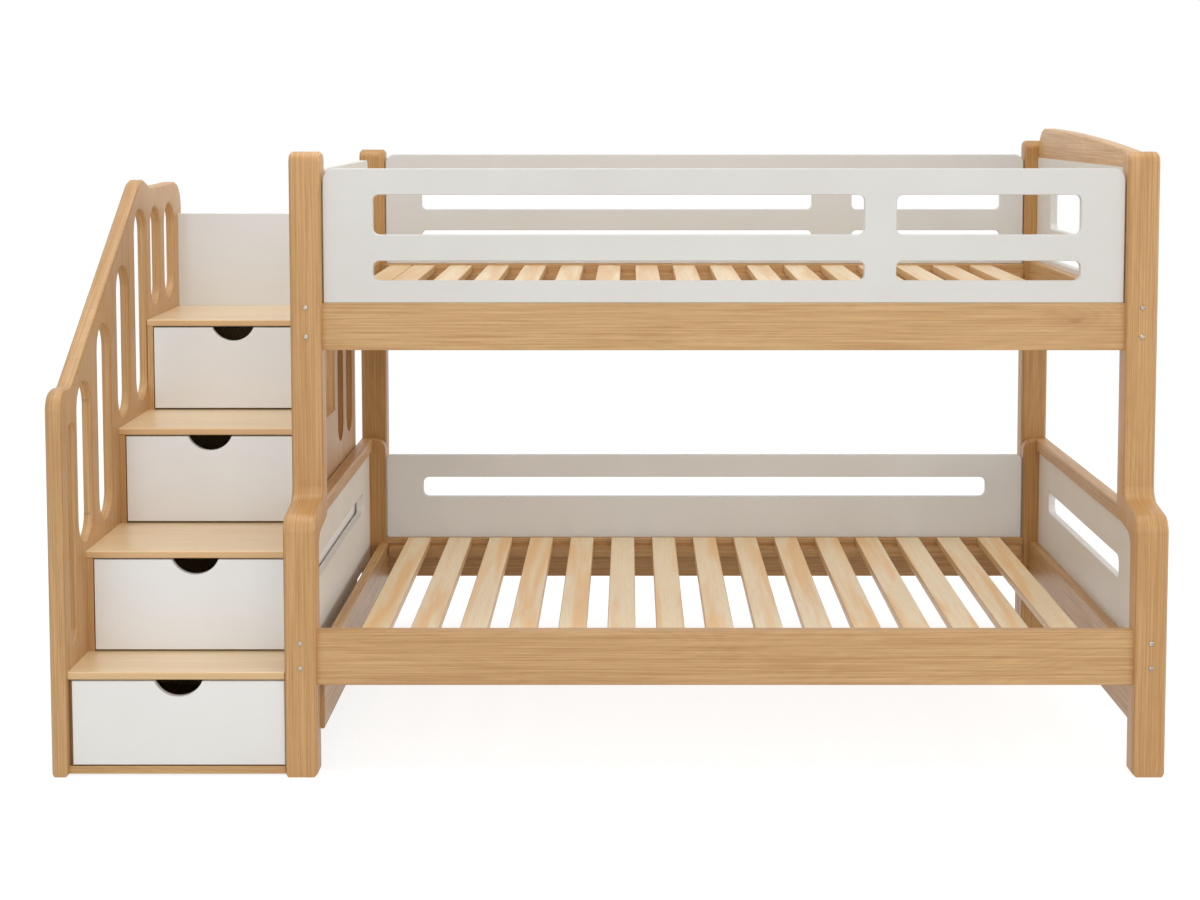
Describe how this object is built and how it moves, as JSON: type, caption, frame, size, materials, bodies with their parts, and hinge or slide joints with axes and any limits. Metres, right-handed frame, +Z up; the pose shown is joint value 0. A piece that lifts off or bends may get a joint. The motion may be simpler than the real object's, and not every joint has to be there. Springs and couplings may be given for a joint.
{
  "type": "bunk bed with storage stairs",
  "caption": "Wooden bunk bed with a wide lower bunk, a narrower railed upper bunk and storage stairs at one end whose steps hold sliding drawers.",
  "frame": {"origin": "on the floor under the middle of the whole object", "axes": "+X from the stairs along the bed, +Y from the front to the wall side, +Z up"},
  "size_m": [2.734, 1.587, 1.5789],
  "materials": {
    "timber": "clear satin varnish on solid softwood",
    "step_timber": "clear satin varnish on pale softwood boards",
    "slat_timber": "planed pale softwood",
    "painted_board": "off-white satin paint on board",
    "drawer_board": "plain pale board",
    "steel": "nickel-plated steel"
  },
  "bodies": {
    "bed_and_stairs": {"front_post_left": "timber", "rear_post_left": "timber", "lower_rear_leg_left": "timber", "lower_end_rail_left": "timber", "lower_end_cap_left": "timber", "upper_end_rail_left": "timber", "lower_end_panel_left": "painted_board", "front_post_right": "timber", "rear_post_right": "timber", "lower_rear_leg_right": "timber", "lower_end_rail_right": "timber", "lower_end_cap_right": "timber", "upper_end_rail_right": "timber", "lower_end_panel_right": "painted_board", "lower_front_rail": "timber", "upper_front_rail": "timber", "upper_rear_rail": "timber", "lower_rear_rail": "timber", "upper_end_cap_right": "timber", "slat_ledgers": "slat_timber", "lower_slats": "slat_timber", "upper_slats": "slat_timber", "lower_back_panel": "painted_board", "upper_front_guard": "painted_board", "upper_rear_guard": "painted_board", "upper_end_guard_left": "painted_board", "upper_end_panel_right": "painted_board", "stair_back_panel": "painted_board", "stair_bed_side_panel": "painted_board", "drawer_channels": "steel", "stair_railing": "timber", "cabinet_side_left": "timber", "cabinet_side_right": "timber", "stair_bed_side_board": "timber", "stair_base_strip": "timber", "tread_1": "step_timber", "tread_2": "step_timber", "tread_3": "step_timber", "tread_4": "step_timber", "cabinet_bottom": "drawer_board"},
    "drawer_1": {"drawer_1_front": "painted_board", "drawer_1_sides": "drawer_board", "drawer_1_back": "drawer_board", "drawer_1_bottom": "drawer_board", "drawer_1_slides": "steel"},
    "drawer_2": {"drawer_2_front": "painted_board", "drawer_2_sides": "drawer_board", "drawer_2_back": "drawer_board", "drawer_2_bottom": "drawer_board", "drawer_2_slides": "steel"},
    "drawer_3": {"drawer_3_front": "painted_board", "drawer_3_sides": "drawer_board", "drawer_3_back": "drawer_board", "drawer_3_bottom": "drawer_board", "drawer_3_slides": "steel"},
    "drawer_4": {"drawer_4_front": "painted_board", "drawer_4_sides": "drawer_board", "drawer_4_back": "drawer_board", "drawer_4_bottom": "drawer_board", "drawer_4_slides": "steel"}
  },
  "joints": [
    {"name": "drawer_1_slide", "type": "slide", "parent": "bed_and_stairs", "child": "drawer_1", "axis": [0, -1, 0], "range_m": [0, 0.43]},
    {"name": "drawer_2_slide", "type": "slide", "parent": "bed_and_stairs", "child": "drawer_2", "axis": [0, -1, 0], "range_m": [0, 0.43]},
    {"name": "drawer_3_slide", "type": "slide", "parent": "bed_and_stairs", "child": "drawer_3", "axis": [0, -1, 0], "range_m": [0, 0.38]},
    {"name": "drawer_4_slide", "type": "slide", "parent": "bed_and_stairs", "child": "drawer_4", "axis": [0, -1, 0], "range_m": [0, 0.27]}
  ]
}
